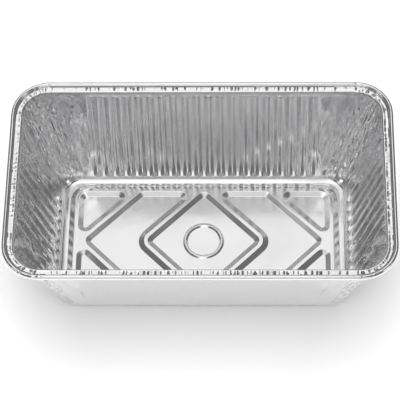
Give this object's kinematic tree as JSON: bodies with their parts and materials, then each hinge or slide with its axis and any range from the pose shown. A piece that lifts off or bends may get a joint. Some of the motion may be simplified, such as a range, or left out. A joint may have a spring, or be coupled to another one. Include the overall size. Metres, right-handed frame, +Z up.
{
  "type": "foil drip pan",
  "caption": "Deep rectangular pan pressed from one sheet of thin foil, with fluted walls, gathered corners, a ribbed floor and a rolled rim, for catching grease.",
  "frame": {"origin": "under the middle of the pan, in the plane that its foot rests on", "axes": "+X along the pan's length, +Y across it, +Z up through the mouth"},
  "size_m": [0.2, 0.118, 0.0675],
  "materials": {
    "foil": "bright rolled foil"
  },
  "bodies": {
    "root": {"pan": "foil"}
  },
  "joints": []
}
